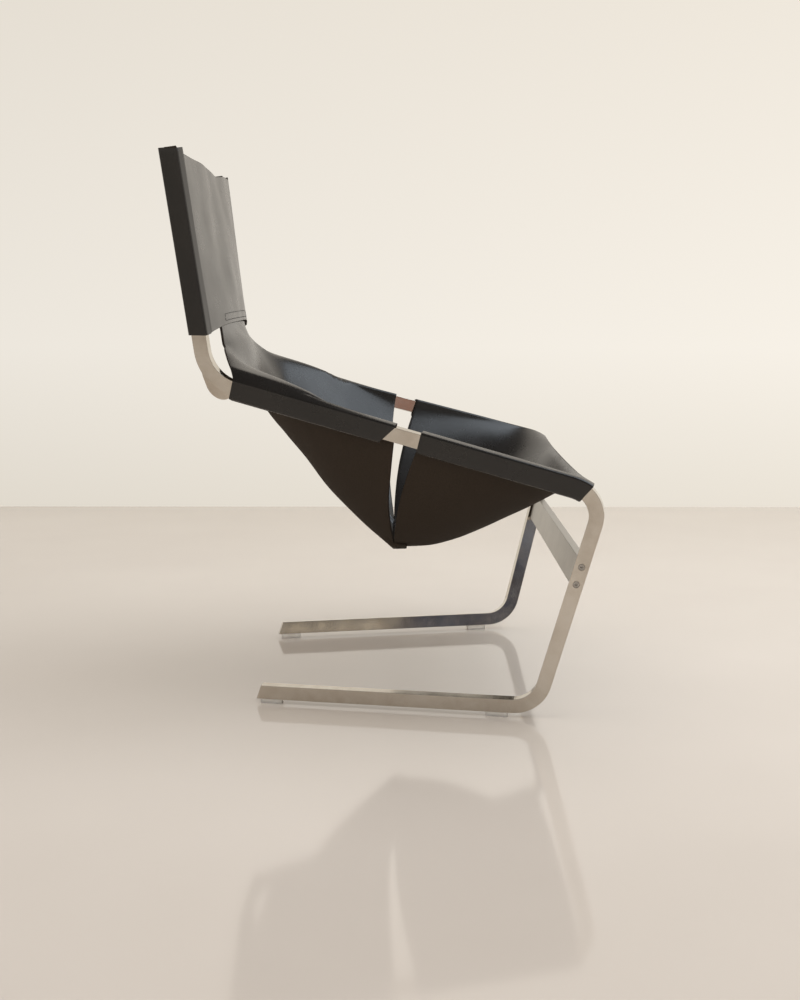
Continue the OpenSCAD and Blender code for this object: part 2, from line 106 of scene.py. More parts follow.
HALF_BAR = BAR_W / 2
RUNNER_T = GLIDE_H + HALF_BAR
GAP_MID = FIT + LEATHER_T / 2
SEAM_GAP = LEATHER_T + FIT

LEG_DIR = np.array([math.cos(LEG_ANGLE), math.sin(LEG_ANGLE)])
RAIL_DIR = np.array([math.cos(RAIL_ANGLE), -math.sin(RAIL_ANGLE)])
RAIL_UP = np.array([math.sin(RAIL_ANGLE), math.cos(RAIL_ANGLE)])
UP_DIR = np.array([-math.sin(UPRIGHT_LEAN), math.cos(UPRIGHT_LEAN)])
UP_FRONT = np.array([math.cos(UPRIGHT_LEAN), math.sin(UPRIGHT_LEAN)])
P_FLOOR = np.array([FLOOR_CORNER, RUNNER_T])
P_FRONT = P_FLOOR + LEG_DIR * LEG_H / LEG_DIR[1]
P_REAR = P_FRONT - RAIL_DIR * RAIL_RUN
P_TOP = P_REAR + UP_DIR * UPRIGHT_H / UP_DIR[1]
FRONT_R = FRONT_BEND_R + HALF_BAR
FRONT_TAN = FRONT_R * math.tan((math.pi - LEG_ANGLE - RAIL_ANGLE) / 2)
FRONT_START = P_FRONT - RAIL_DIR * FRONT_TAN
FRONT_C = FRONT_START - RAIL_UP * FRONT_R
SLEEVE_BEND_R = FRONT_R * 1.5  # a sleeve bends less sharply than its bar


def frame_pt(p, n):
    """The chair's point for a point p of a side frame, n inwards from its outer face."""
    p = np.asarray(p, float)
    x = n * math.cos(LEAN) - p[..., 1] * math.sin(LEAN)
    z = n * math.sin(LEAN) + p[..., 1] * math.cos(LEAN)
    return np.stack([FRAME_HALF_W - x * math.cos(TOE) + p[..., 0] * math.sin(TOE),
                     x * math.sin(TOE) + p[..., 0] * math.cos(TOE), z], -1)


# The middle of the chair's depth, which is the frame's origin
FRONT_MOST = frame_pt(FRONT_C + [FRONT_BEND_R + BAR_W, 0], BAR_T)[1]
REAR_MOST = frame_pt(P_TOP + UP_DIR * SLEEVE_OVER - UP_FRONT * (HALF_BAR + FIT + LEATHER_T),
                     -FIT)[1]
MID_U = (FRONT_MOST + REAR_MOST) / 2


def world(p):
    """The chair's points as Blender's, in metres."""
    p = np.asarray(p, float)
    return np.stack([p[..., 0], MID_U - p[..., 1], p[..., 2]], -1) / 1000.0


def mirrored(p):
    return np.asarray(p) * [-1, 1, 1]


def mix(a, b, k):
    return a + (b - a) * k


def smooth(k):
    k = np.clip(k, 0, 1)
    return k * k * (3 - 2 * k)


def along(table, k):
    """A smooth line that keeps rising through a table's points."""
    t = np.array(table, float)
    x, y = t[:, 0], t[:, 1]
    h = np.diff(x)
    d = np.diff(y) / h
    m = np.zeros(len(x))
    for i in range(1, len(x) - 1):
        if d[i - 1] * d[i] > 0:
            w1, w2 = 2 * h[i] + h[i - 1], h[i] + 2 * h[i - 1]
            m[i] = (w1 + w2) / (w1 / d[i - 1] + w2 / d[i])
    m[0], m[-1] = d[0], d[-1]
    i = np.clip(np.searchsorted(x, k, side="right") - 1, 0, len(h) - 1)
    s = (k - x[i]) / h[i]
    return (y[i] * (1 + 2 * s) * (1 - s) ** 2 + h[i] * m[i] * s * (1 - s) ** 2
            + y[i + 1] * s * s * (3 - 2 * s) + h[i] * m[i + 1] * s * s * (s - 1))


# Sleeves


def rail_pt(r, m, n):
    """A point beside the rail and its front bend: r along it, m above its middle, n inwards."""
    bend = max(0.0, r - RAIL_RUN + FRONT_TAN) / SLEEVE_BEND_R
    if bend == 0:
        return frame_pt(P_REAR + r * RAIL_DIR + m * RAIL_UP, n)
    out = RAIL_UP * math.cos(bend) + RAIL_DIR * math.sin(bend)
    return frame_pt(FRONT_START - RAIL_UP * SLEEVE_BEND_R + out * (SLEEVE_BEND_R + m), n)


def corner_arc(cx, cy, a0, a1, r, steps):
    """Points of an arc round (cx, cy) from one angle to another, in degrees."""
    a = np.radians(np.linspace(a0, a1, steps))
    return np.stack([cx + r * np.cos(a), cy + r * np.sin(a)], -1)


# How far a sleeve sags under its bar, and the strip from its hem's fold to its cut edge
SLEEVE_SLACK, HEM_STRIP = 2.5, 1.4
# Where its side has points, as shares of half the bar's height, and its way over to its end
SIDE_SHARES = (-0.4, 0.4)
LEVEL_SHARES = (0.15, 0.35, 0.55, 0.7, 0.85, 1)
# How much of its lift its end has, and how soon it lies round the bar's arris
LIFT_END, TURN_RATE = 1.1, 2.5
# How many of its points come before the bar's top, and how far down its slant goes on
N_OUTER, SLANT_END = 10, 1.3


def sleeve_path(low, lift):
    """The leather round the rail as (n, m) points, from its hem under the bar to its inner side.

    low is the share of the bar's height that it goes down inside, and lift is how far its top
    rises towards that side."""
    top = HALF_BAR + GAP_MID
    foot = -HALF_BAR - SLEEVE_SLACK
    # the hem, from its cut edge
    hem = np.array([[BAR_T * 0.74, foot - HEM_DROP - HEM_STRIP], [BAR_T * 0.7, foot - HEM_DROP],
                    [BAR_T * 0.45, foot - HEM_DROP * 0.75], [BAR_T * 0.15, foot - GAP_MID - 0.4]])
    low_corner = corner_arc(0, foot, 240, 180, GAP_MID, 4)
    side = np.array([[-GAP_MID, HALF_BAR * a] for a in SIDE_SHARES])
    rise = lift * (1 - low)
    tilt = math.atan2(rise, BAR_T)
    up_corner = corner_arc(0, HALF_BAR, 180, 90 + math.degrees(tilt), GAP_MID, 5)
    corner = GAP_MID * (1 - math.cos(math.radians(45)))
    end = np.array([BAR_T + GAP_MID - corner * (1 - low),
                    top - corner - BAR_W * low + LIFT_END * rise])
    flat = [mix(up_corner[-1], [BAR_T, top + rise], a) for a in (0.35, 0.7)]
    # the last points lie on the way to its end, or follow the bar's arris where it goes down
    level = np.array([mix(flat[-1], end, a) for a in LEVEL_SHARES])
    arris = corner_arc(BAR_T, HALF_BAR, 90, 0, GAP_MID, 4)
    over = np.concatenate([arris, [mix(arris[-1], end, 0.5), end]])
    inner = mix(level, over, smooth(low * TURN_RATE))
    return np.concatenate([hem, low_corner, side, up_corner, flat, inner])


N_SLEEVE = len(sleeve_path(0, 0))


def rail_sleeve(r, low, slant, lift, back=0.0):
    """A row of a sleeve: its lower part may run slant behind its top, its inner part back."""
    path = sleeve_path(low, lift)
    drop = np.clip((HALF_BAR - path[:, 1]) / BAR_W, 0, SLANT_END)
    drop *= np.arange(len(path)) < N_OUTER
    inward = np.clip(path[:, 0] / BAR_T, 0, 1) * (path[:, 1] > HALF_BAR)
    return np.array([rail_pt(r - slant * d - back * i, m, n)
                     for (n, m), d, i in zip(path, drop, inward)])


def end_slant(slant, k):
    """A sleeve's slant grows over the second half of its length."""
    return slant * smooth((k - 0.5) * 2)


# Seat. f runs from 0 in the middle to 1 at the rim, and k from a piece's rear to its front

REAR_FOOT_U = rail_pt(REAR_SLEEVE_START, 0, BAR_T)[1]
FRONT_SLEEVE = REAR_SLEEVE_START + REAR_SLEEVE + RAIL_GAP
FRONT_END = RAIL_RUN - FRONT_SLEEVE_SHORT
FRONT_LIP_U = rail_pt(FRONT_END, 0, BAR_T)[1] + LIP_REACH


def rear_low(k):
    """The share of the bar's height that the rear piece's sleeve covers inside."""
    return LOW_SHARE * np.clip((k - LOW_FROM) / (1 - LOW_FROM), 0, 1) ** LOW_POWER


def rear_sleeve(k):
    return rail_sleeve(REAR_SLEEVE_START + REAR_SLEEVE * k, rear_low(k),
                       end_slant(SLEEVE_SLANT, k), LIFT * (1 - k), EDGE_BACK * (1 - k) ** BACK_FADE)


def rear_rim(k):
    e = sleeve_path(rear_low(k), LIFT * (1 - k))[-1]
    return rail_pt(REAR_SLEEVE_START + REAR_SLEEVE * k, e[1], e[0])


def ridge_share(k):
    """Where the ridge is: it leaves the tongue's edge and runs out to the rim."""
    return mix(TONGUE_SHARE, 1, math.sqrt(min(1, k / RIDGE_OUT_SHARE)))


# What is left between the ridge and the tongue's foot at the rear piece's first row
CORNER_RISE = TONGUE_FOOT - rear_rim(0)[2] - RIDGE_H


def rear_seat_pt(f, k):
    """A point of the rear piece: a hollow up to the ridge, then a slope down to the rail."""
    rim = rear_rim(k)
    middle = [mix(REAR_FOOT_U, -LAP_HALF, k),
              mix(TONGUE_FOOT, SEAT_LOW + LEATHER_T / 2, along(REAR_LINE, k))]
    settled = min(1, k * SETTLE_RATE)
    ridge = RIDGE_H * (1 - k) ** RIDGE_FADE + CORNER_RISE * (1 - k) ** CORNER_FADE
    f_top = ridge_share(k)
    p = mix(*HOLLOW_POWERS, settled)
    back = TONGUE_BACK * (f / TONGUE_SHARE) ** 2
    if f > TONGUE_SHARE:
        back = mix(TONGUE_BACK, EDGE_BACK, (f - TONGUE_SHARE) / (1 - TONGUE_SHARE))
    back *= (1 - k) ** BACK_FADE
    if f <= f_top:
        z = mix(middle[1], rim[2] + ridge, (f / f_top) ** p)
    else:
        z = rim[2] + ridge * (1 - ((f - f_top) / (1 - f_top)) ** mix(*SLOPE_POWERS, settled))
    return np.array([rim[0] * f, mix(middle[0], rim[1], f ** p) - back, z])


def front_seat_pt(f, k):
    """A point of the front piece, a hollow that flattens to its free edge."""
    kk = min(max(k, 0.0), 1.0)
    e = sleeve_path(LOW_SHARE * (1 - kk), 0)[-1]
    rim = rail_pt(mix(FRONT_SLEEVE, FRONT_END, k), e[1], e[0])
    middle = [mix(-LAP_HALF, FRONT_LIP_U, k),
              mix(SEAT_LOW + LEATHER_T / 2 + SEAM_GAP, FRONT_LIP, along(FRONT_LINE, k))]
    a = abs(f)
    return np.array([rim[0] * f, mix(middle[0], rim[1], a ** mix(*FRONT_REACH_POWERS, kk)),
                     mix(middle[1], rim[2], a ** FRONT_HOLLOW_POWER)])


NUDGE = 0.01  # the step in f and k with which a surface's direction is found


def lap_pt(f, k):
    """The point of the rear piece under a point of the front one."""
    n = np.cross(front_seat_pt(f + NUDGE, k) - front_seat_pt(f - NUDGE, k),
                 front_seat_pt(f, k + NUDGE) - front_seat_pt(f, k))
    return front_seat_pt(f, k) - n / np.linalg.norm(n) * SEAM_GAP


SLIT_OPENS = 0.62  # the share of the way from lap to rim at which the slit is fully open


def slit_share(f):
    """How far the rear piece is cut back beside the lap, as a share of its length."""
    s = np.clip((f - SEAM_SHARE) / (1 - SEAM_SHARE), 0, 1)
    return SLIT_BACK / REAR_SLEEVE * (1 - s ** 3) * smooth(s / SLIT_OPENS)


# Back

BACK_TOP = P_TOP[1] + SLEEVE_OVER
NOSE_Q = HALF_BAR + GAP_MID + BACK_NOSE


def upright_pt(t, q, n):
    """A point beside the upright: at height t of its middle, q to its front, n inwards."""
    return frame_pt(P_REAR + UP_DIR * (t - P_REAR[1]) / UP_DIR[1] + UP_FRONT * q, n)


PANEL_FOOT = upright_pt(BACK_FOOT, NOSE_Q, BAR_T + GAP_MID)
PANEL_HEAD = upright_pt(BACK_TOP - PANEL_DROP, NOSE_Q, BAR_T + GAP_MID)
PANEL_H = PANEL_HEAD[2] - PANEL_FOOT[2]


def panel_pt(f, k):
    """A point of the panel: f across it, and k from its foot to its top edge."""
    end = mix(PANEL_FOOT, PANEL_HEAD, k)
    rise = FOOT_RISE * (1 - abs(f) ** 3) * (1 - k)
    return np.array([end[0] * f, end[1] + mix(BOW_BOTTOM, BOW_TOP, k) * (1 - f * f),
                     end[2] + rise])


def panel_rear_pt(x, z):
    """The tongue's point behind the panel."""
    k = (z - PANEL_FOOT[2]) / PANEL_H
    p = panel_pt(x / mix(PANEL_FOOT, PANEL_HEAD, k)[0], k)
    return np.array([x, p[1] - SEAM_GAP, z])


# Materials

NOISE = "ShaderNodeTexNoise"


def blank_material(name):
    mat = bpy.data.materials.new(name)
    mat.use_nodes = True
    nt = mat.node_tree
    nt.nodes.clear()
    return mat, nt, nt.nodes.new("ShaderNodeOutputMaterial")


def node_material(name):
    mat, nt, out = blank_material(name)
    shader = nt.nodes.new("ShaderNodeBsdfPrincipled")
    nt.links.new(shader.outputs[0], out.inputs[0])
    return mat, nt, shader


def set_inputs(node, values):
    for key, value in values.items():
        node.inputs[key].default_value = value


def feed(nt, node, sources):
    for key, source in sources.items():
        nt.links.new(source, node.inputs[key])


def joined(nt, kind, *sources, operation=None):
    """The output of a new node whose first inputs are fed in order."""
    node = nt.nodes.new(kind)
    if operation:
        node.operation = operation
    for socket, source in zip(node.inputs, sources):
        nt.links.new(source, socket)
    return node.outputs[0]


def place_xyz(nt, kind="Object"):
    co = nt.nodes.new("ShaderNodeTexCoord")
    split = nt.nodes.new("ShaderNodeSeparateXYZ")
    nt.links.new(co.outputs[kind], split.inputs[0])
    return split.outputs


def texture(nt, kind, scale, stretch=(1, 1, 1), out="Fac", **values):
    co = nt.nodes.new("ShaderNodeTexCoord")
    mapping = nt.nodes.new("ShaderNodeMapping")
    mapping.inputs["Scale"].default_value = stretch
    nt.links.new(co.outputs["Object"], mapping.inputs[0])
    tx = nt.nodes.new(kind)
    set_inputs(tx, {"Scale": scale, **values})
    nt.links.new(mapping.outputs[0], tx.inputs["Vector"])
    return tx.outputs[out]


def ramp(nt, source, stops):
    r = nt.nodes.new("ShaderNodeValToRGB")
    elements = r.color_ramp.elements
    while len(elements) < len(stops):
        elements.new(0.5)
    for e, (at, color) in zip(elements, stops):
        e.position = at
        e.color = (*color, 1)
    nt.links.new(source, r.inputs[0])
    return r.outputs[0]


def to_range(nt, source, low, high, start=0.0, end=1.0):
    m = nt.nodes.new("ShaderNodeMapRange")
    set_inputs(m, {"From Min": start, "From Max": end, "To Min": low, "To Max": high})
    nt.links.new(source, m.inputs["Value"])
    return m.outputs[0]


def bump(nt, source, strength, distance, normal=None):
    b = nt.nodes.new("ShaderNodeBump")
    set_inputs(b, {"Strength": strength, "Distance": distance})
    nt.links.new(source, b.inputs["Height"])
    if normal is not None:
        nt.links.new(normal, b.inputs["Normal"])
    return b.outputs[0]


def leather_material(name, tone, rough, fleck):
    """Waxed saddle leather: soft clouds and scuffs in its colour, fine pores and creases."""
    mat, nt, shader = node_material(name)
    clouds = texture(nt, NOISE, 7, Detail=6.0, Roughness=0.6)
    smears = texture(nt, NOISE, 11, Detail=5.0, Roughness=0.6)
    pores = texture(nt, "ShaderNodeTexVoronoi", 1100, out="Distance")
    creases = texture(nt, NOISE, 34, Detail=6.0, Roughness=0.62)
    fine = bump(nt, pores, fleck, 0.0003)
    feed(nt, shader, {
        "Base Color": ramp(nt, clouds, [(0.3, tone[0]), (0.68, tone[1]), (0.8, tone[2])]),
        "Roughness": to_range(nt, smears, rough - 0.02, rough + 0.06, 0.3, 0.7),
        "Normal": bump(nt, creases, 0.02, 0.0012, fine)})
    set_inputs(shader, {"Specular IOR Level": 0.6, "Sheen Weight": 0.08, "Sheen Roughness": 0.35,
                        "Sheen Tint": (1.0, 0.85, 0.7, 1)})
    return mat


def raw_leather(name, dark, light, scale):
    """The leather's rough side, its cut edge, or the lighter strip along a seat hem, which is a
    painted highlight: matt fibres.
    """
    mat, nt, shader = node_material(name)
    fibre = texture(nt, NOISE, scale, Detail=5.0, Roughness=0.7)
    feed(nt, shader, {"Base Color": ramp(nt, fibre, [(0.3, dark), (0.72, light)]),
                      "Normal": bump(nt, fibre, 0.2, 0.0003)})
    set_inputs(shader, {"Roughness": 0.85, "Specular IOR Level": 0.12})
    return mat


def steel_material(name, tone, low, high, grain, relief):
    """Steel with patches in its colour, smudges in its gloss, and rounded arrises."""
    mat, nt, shader = node_material(name)
    patches = texture(nt, NOISE, 14, Detail=6.0, Roughness=0.65)
    smudges = texture(nt, NOISE, 30, Detail=8.0, Roughness=0.7)
    lines = texture(nt, NOISE, 120, stretch=grain, Detail=3.0)
    arris = nt.nodes.new("ShaderNodeBevel")
    arris.samples = 4
    set_inputs(arris, {"Radius": 0.0012})
    feed(nt, shader, {
        "Base Color": ramp(nt, patches, [(0.3, tone[0]), (0.55, tone[1]), (0.75, tone[2])]),
        "Roughness": to_range(nt, smudges, low, high, 0.35, 0.7),
        "Normal": bump(nt, lines, relief, 0.0002, arris.outputs[0])})
    set_inputs(shader, {"Metallic": 1.0})
    return mat


def glide_material():
    mat, nt, shader = node_material("glide_plastic")
    haze = texture(nt, NOISE, 80, Detail=4.0)
    feed(nt, shader, {
        "Base Color": ramp(nt, haze, [(0.3, (0.86, 0.83, 0.79)), (0.7, (0.95, 0.93, 0.9))]),
        "Normal": bump(nt, haze, 0.15, 0.0004)})
    set_inputs(shader, {"Roughness": 0.5, "Transmission Weight": 0.6, "IOR": 1.3})
    return mat


def thread_material():
    mat, nt, shader = node_material("thread")
    twist = texture(nt, "ShaderNodeTexWave", 500, Distortion=1.0)
    feed(nt, shader, {
        "Base Color": ramp(nt, twist, [(0.2, (0.008, 0.007, 0.007)), (0.8, (0.03, 0.026, 0.024))]),
        "Normal": bump(nt, twist, 0.4, 0.0003)})
    set_inputs(shader, {"Roughness": 0.7})
    return mat


BLACK = ((0.0065, 0.0056, 0.0046), (0.0115, 0.0098, 0.0082), (0.018, 0.015, 0.0125))
back_leather = leather_material("back_leather", BLACK, 0.27, 0.1)
seat_leather = leather_material("seat_leather", BLACK, 0.25, 0.08)
cut_edge = raw_leather("cut_edge", (0.014, 0.011, 0.009), (0.034, 0.025, 0.019), 700)
rough_side = raw_leather("rough_side", (0.030, 0.0225, 0.0165), (0.046, 0.035, 0.026), 420)
# the strip along the seat's hems is lighter: a painted highlight along the hem's fold
painted_hem_highlight = raw_leather("painted_hem_highlight", (0.05, 0.035, 0.024), (0.12, 0.085, 0.06), 500)
thread = thread_material()
polished = steel_material("polished_steel",
                          ((0.56, 0.51, 0.44), (0.68, 0.635, 0.565), (0.72, 0.68, 0.62)),
                          0.09, 0.2, (0.3, 0.3, 3), 0.02)
satin = steel_material("satin_steel", ((0.36, 0.335, 0.3), (0.4, 0.37, 0.33), (0.43, 0.4, 0.36)),
                       0.32, 0.36, (0.06, 4, 4), 0.01)
screw_steel = steel_material("screw_steel",
                             ((0.38, 0.36, 0.33), (0.5, 0.48, 0.45), (0.58, 0.56, 0.53)),
                             0.2, 0.4, (1, 1, 1), 0.05)

LOOKS = {"side_frame": polished, "front_crossbar": satin, "screw": screw_steel,
         "glide": glide_material()}
for name, obj in frame["nodes"].items():
    for start, mat in LOOKS.items():
        if name.startswith(start):
            obj.data.materials.clear()
            obj.data.materials.append(mat)


# Sheets. A sheet's materials are, in order, its smooth side, its cut edges, its rough side and the
# strip along its hems, which on the seat is lighter: a painted highlight along the hem's fold

GRAIN, CUT, ROUGH, STRIP = range(4)
SEAT_MATS = (seat_leather, cut_edge, rough_side, painted_hem_highlight)
BACK_MATS = (back_leather, cut_edge, rough_side, cut_edge)
EDGE_BEVEL = 0.0008


def covered(g, first):
    """Which points of a grid belong to the sheet: column j starts at row first[j]."""
    rows, cols = g.shape[:2]
    return np.array([[i >= first[j] for j in range(cols)] for i in range(rows)])


def grid_normals(g, there):
    """Normals of a grid from each point's neighbours in the sheet."""
    rows, cols = g.shape[:2]
    n = np.zeros_like(g)
    for i in range(rows):
        for j in range(cols):
            if not there[i, j]:
                n[i, j] = (0, 0, 1)
                continue
            i0 = i - 1 if i > 0 and there[i - 1, j] else i
            i1 = i + 1 if i < rows - 1 and there[i + 1, j] else i
            j0 = j - 1 if j > 0 and there[i, j - 1] else j
            j1 = j + 1 if j < cols - 1 and there[i, j + 1] else j
            v = np.cross(g[i, j1] - g[i, j0], g[i1, j] - g[i0, j])
            n[i, j] = v / max(np.linalg.norm(v), 1e-12)
    return n


def on_body(name, bm, mats):
    """A finished bmesh as a smooth-shaded piece on the chair's one body."""
    for f in bm.faces:
        f.smooth = True
    mesh = bpy.data.meshes.new(name)
    bm.to_mesh(mesh)
    bm.free()
    for m in mats:
        mesh.materials.append(m)
    obj = bpy.data.objects.new(name, mesh)
    bpy.context.collection.objects.link(obj)
    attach(obj, "root")
    return obj


def leather_sheet(name, g, first, mats, replaces, grain):
    """A closed sheet of even thickness round the grid g; column j starts at row first[j].

    grain is the way that its smooth side faces at its middle."""
    rows, cols = g.shape[:2]
    there = covered(g, first)
    normals = grid_normals(g, there)
    cells = [(i, j) for i in range(rows - 1) for j in range(cols - 1)
             if i >= max(first[j], first[j + 1])]
    used = set()
    for i, j in cells:
        used.update([(i, j), (i, j + 1), (i + 1, j), (i + 1, j + 1)])
    half = LEATHER_T / 2
    bm = bmesh.new()
    top, low = {}, {}
    for i, j in sorted(used):
        top[i, j] = bm.verts.new(world(g[i, j] + normals[i, j] * half))
        low[i, j] = bm.verts.new(world(g[i, j] - normals[i, j] * half))
    smooth_up = np.dot(normals[rows // 2, cols // 2], grain) > 0
    sides = (GRAIN, ROUGH) if smooth_up else (ROUGH, GRAIN)
    cell_set = set(cells)
    rim = []
    for i, j in cells:
        upper = bm.faces.new([top[i, j], top[i + 1, j], top[i + 1, j + 1], top[i, j + 1]])
        lower = bm.faces.new([low[i, j], low[i, j + 1], low[i + 1, j + 1], low[i + 1, j]])
        upper.material_index, lower.material_index = sides
        # the strip along the hems; on the seat its lighter colour is a painted highlight along the
        # fold
        if j in (0, cols - 2):
            upper.material_index = lower.material_index = STRIP
        for (di, dj), a, b in (((-1, 0), (i, j), (i, j + 1)),
                               ((0, 1), (i, j + 1), (i + 1, j + 1)),
                               ((1, 0), (i + 1, j + 1), (i + 1, j)),
                               ((0, -1), (i + 1, j), (i, j))):
            if (i + di, j + dj) not in cell_set:
                f = bm.faces.new([top[a], top[b], low[b], low[a]])
                f.material_index = CUT
                rim.append(f)
    bmesh.ops.recalc_face_normals(bm, faces=bm.faces)
    sharp = {e for f in rim for e in f.edges
             if len(e.link_faces) == 2 and any(q.material_index != CUT for q in e.link_faces)}
    bmesh.ops.bevel(bm, geom=list(sharp), offset=EDGE_BEVEL, segments=2, affect="EDGES",
                    profile=0.6, clamp_overlap=True, material=CUT)
    obj = on_body(name, bm, mats)
    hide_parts(replaces)


def sheet_row(side, span):
    """A whole row from its right half: the sleeve or hem, and the span up to the middle."""
    right = np.concatenate([side, span[:-1]])
    return np.concatenate([right, span[-1:], mirrored(right[::-1])])


# Where the sheets have rows, from rear to front or foot to top, and where they have columns
# between sleeve and middle. Of the seat's, one is the tongue's edge and one the lap's end
REAR_ROWS = np.concatenate([np.linspace(0, 0.16, 9), np.linspace(0.2, 0.9, 18)])
FRONT_ROWS = np.concatenate([[0, 0.02, 0.045, 0.07], np.linspace(0.1, 1, 28)])
BACK_ROWS = np.linspace(0, 1, 34)
F_FREE = np.concatenate([1 - np.array([0.03, 0.07, 0.11, 0.15, 0.19, 0.23, 0.27, 0.305]),
                         [0.665, 0.64, 0.61, 0.58, 0.55, 0.52, 0.49, 0.46, 0.43, 0.4, 0.37, 0.34],
                         np.linspace(0.29, 0, 7)])
BACK_COLUMNS = np.concatenate([[1, 0.985, 0.97, 0.94, 0.9], np.linspace(0.85, 0, 18)])
# The column on the ridge goes no further out than RIDGE_LAST. It leaves the ridge from
# RIDGE_HOLDS of the piece's length on, over as long a stretch
RIDGE_LAST, RIDGE_HOLDS = 0.95, 0.45


def column_at(share):
    """The seat's column at a share of the way from its middle to its rim."""
    return N_SLEEVE + int(np.argmin(abs(F_FREE - share)))


def ridge_columns(k):
    """The shares of a row of the rear piece: one column stays on the ridge until it runs out."""
    top = min(RIDGE_LAST, ridge_share(k))
    out = top + (1 - top) * (F_FREE - TONGUE_SHARE) / (1 - TONGUE_SHARE)
    on_ridge = np.where(F_FREE > TONGUE_SHARE, out, F_FREE * top / TONGUE_SHARE)
    return mix(on_ridge, F_FREE, smooth((k - RIDGE_HOLDS) / RIDGE_HOLDS))


def eased(part, turns):
    """A part of a grid, rounded off across its columns; the outer two stay."""
    for _ in range(turns):
        middle = (part[:, :-2] + 2 * part[:, 1:-1] + part[:, 2:]) / 4
        part = np.concatenate([part[:, :1], middle, part[:, -1:]], axis=1)
    return part


def ease(g, rows, cols, turns):
    """Rounds part of a grid off across its columns, less so towards the last of its rows."""
    part = g[rows, cols]
    weight = np.clip(np.linspace(3, 0, len(part)), 0, 1)[:, None, None]
    for _ in range(turns):
        part[:] = mix(part, eased(part, 1), weight)


def both_sides(g, start, stop):
    """Columns of the right half, and the same ones of the left half."""
    cols = g.shape[1]
    return slice(start, stop), slice(cols - stop, cols - start)


def ease_rims(g, start):
    """Rounds the way from sleeve to seat, from a row on."""
    for side in both_sides(g, N_SLEEVE - 3, N_SLEEVE + 6):
        g[start:, side] = eased(g[start:, side], 3)


# Rows of the tongue, of its foot and of the lap
TONGUE_ROWS = 5
FOOT_SHARES = (0.15, 0.32, 0.5, 0.68, 0.85)
LAP_FROM, LAP_SHARES = 0.95, (0.0, 0.35, 0.7, 1.0)


def rear_seat_grid():
    """The rear piece's rows from the tongue's top to the lap, and where its columns start."""
    def behind_panel(z):
        return np.array([panel_rear_pt(TONGUE_HALF_W * f / TONGUE_SHARE, z) for f in F_FREE])

    unused = rail_sleeve(REAR_SLEEVE_START, 0, 0, LIFT)
    rows = [sheet_row(unused, behind_panel(mix(TONGUE_TOP, PANEL_FOOT[2], a)))
            for a in np.linspace(0, 1, TONGUE_ROWS)]
    last = behind_panel(PANEL_FOOT[2])
    foot = np.array([rear_seat_pt(f, 0.0) for f in F_FREE])
    rows += [sheet_row(unused, mix(last, foot, a)) for a in FOOT_SHARES]
    begin = len(rows)
    for k in REAR_ROWS:
        rows.append(sheet_row(rear_sleeve(k),
                              np.array([rear_seat_pt(f, k) for f in ridge_columns(k)])))
    lap_share = LAP_HALF * 2 / (FRONT_LIP_U + LAP_HALF)
    for a in LAP_SHARES:
        k = mix(LAP_FROM, 1, a)
        rows.append(sheet_row(rear_sleeve(k), np.array([
            lap_pt(f, a * lap_share) if f <= SEAM_SHARE else rear_seat_pt(f, k - slit_share(f))
            for f in F_FREE])))
    g = np.array(rows)
    cols = g.shape[1]
    crest = column_at(TONGUE_SHARE)
    first = [0 if crest <= j <= cols - 1 - crest else begin for j in range(cols)]
    # the ridge is rounded, and so is the way from the sleeve to its start
    for side in both_sides(g, crest - 7, crest + 6):
        ease(g, slice(begin, None), side, 4)
    for side in both_sides(g, N_SLEEVE - 8, N_SLEEVE + 4):
        ease(g, slice(begin, begin + 11), side, 6)
    # the tongue runs into the hollow, more gently on the side where its edge has been pulled
    down = g.transpose(1, 0, 2)
    ease(down, slice(crest, cols - crest - 2), slice(2, begin + 7), 2)
    ease(down, slice(crest, cols // 2), slice(2, begin + 9), 12)
    ease_rims(g, begin + 10)
    return g, first


def front_seat_grid():
    rows = []
    for k in FRONT_ROWS:
        sleeve = rail_sleeve(mix(FRONT_SLEEVE, FRONT_END, k), LOW_SHARE * (1 - k),
                             end_slant(FRONT_SLANT, k), 0)
        rows.append(sheet_row(sleeve, np.array([front_seat_pt(f, k) for f in F_FREE])))
    g = np.array(rows)
    ease_rims(g, 0)
    return g, [0] * g.shape[1]


# The back's sleeves are cut level, so their edges fall by CUT_FALL of the way forwards
CUT_FALL = 0.11
# Their inner layer stands this much higher at the top
INNER_RISE = 4
# On the way to the panel the leather leaves the bar by this much, at its foot and its top
NOSE_GAPS = (0.6, 2.2)
HEM_SHARES, NOSE_SHARES, NOSE_START = (1, 0.7, 0.4, 0.22), (0.1, 0.35, 0.6, 0.8, 0.93), 2.1
# The top edge rises on one side and sags beside its middle
TOP_RISE, TOP_RISE_W, TOP_SAG, TOP_SAG_X, TOP_SAG_W = 5, 300, 6.5, 90, 90
# The panel's slow waves: height, radians upwards and across, and start
WAVES = ((1.6, 6, 4, 0), (1.2, 2, 11, 1))


def in_top(k):
    """How much a height belongs to the panel's top fifth."""
    return smooth((k - 0.8) * 5)


